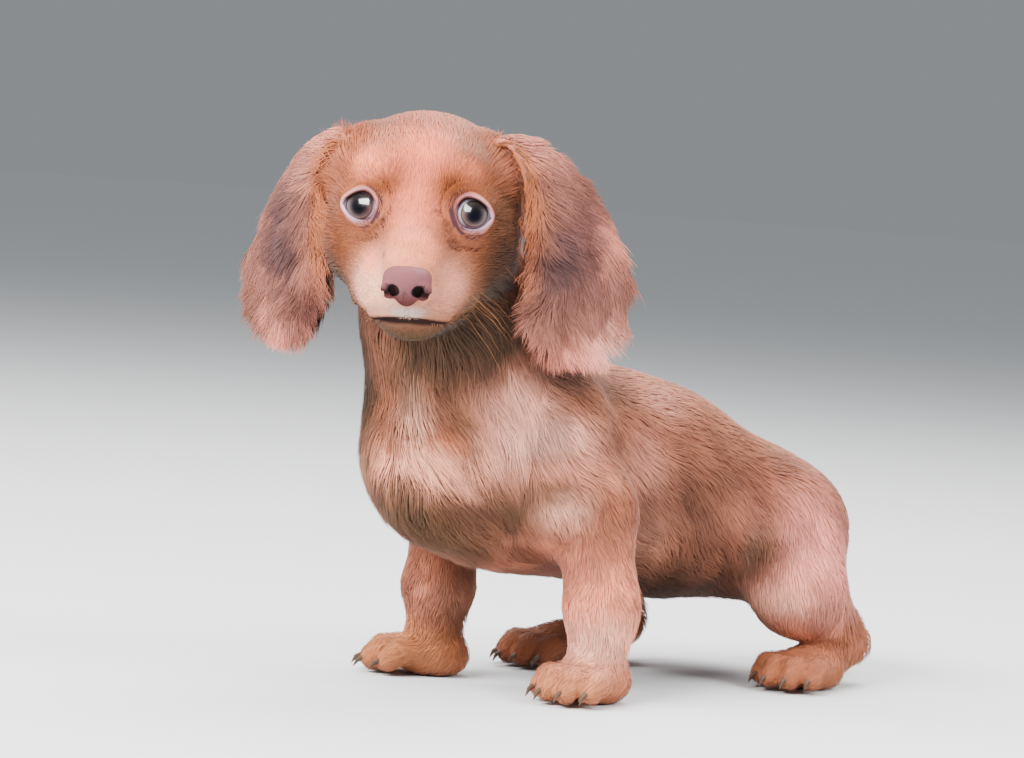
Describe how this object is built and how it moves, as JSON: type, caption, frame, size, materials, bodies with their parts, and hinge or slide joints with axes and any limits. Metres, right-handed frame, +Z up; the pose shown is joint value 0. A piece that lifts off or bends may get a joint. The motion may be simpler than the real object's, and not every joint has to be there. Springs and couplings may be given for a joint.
{
  "type": "dachshund",
  "caption": "Long-haired dachshund puppy in a half crouch, forelegs straight, hind legs folded, head turned and ears flared out, with feathered coat.",
  "frame": {"origin": "on the floor under the middle of the part", "axes": "-Y the way the body faces, +X the dog's left, +Z up"},
  "size_m": [0.1506, 0.3508, 0.2479],
  "materials": {
    "coat": "soft red-brown hair",
    "ear_coat": "soft darker brown hair",
    "nose": "moist, finely pebbled, liver pink",
    "eyes": "wet gloss"
  },
  "bodies": {
    "root": {"ear_left": "ear_coat", "ear_right": "ear_coat", "eye_left": "eyes", "eye_right": "eyes", "foreleg_left": "coat", "foreleg_right": "coat", "forepaw_left": "coat", "forepaw_right": "coat", "head": "coat", "hindleg_left": "coat", "hindleg_right": "coat", "hindpaw_left": "coat", "hindpaw_right": "coat", "neck": "coat", "nose": "nose", "tail": "coat", "torso": "coat"}
  },
  "joints": []
}
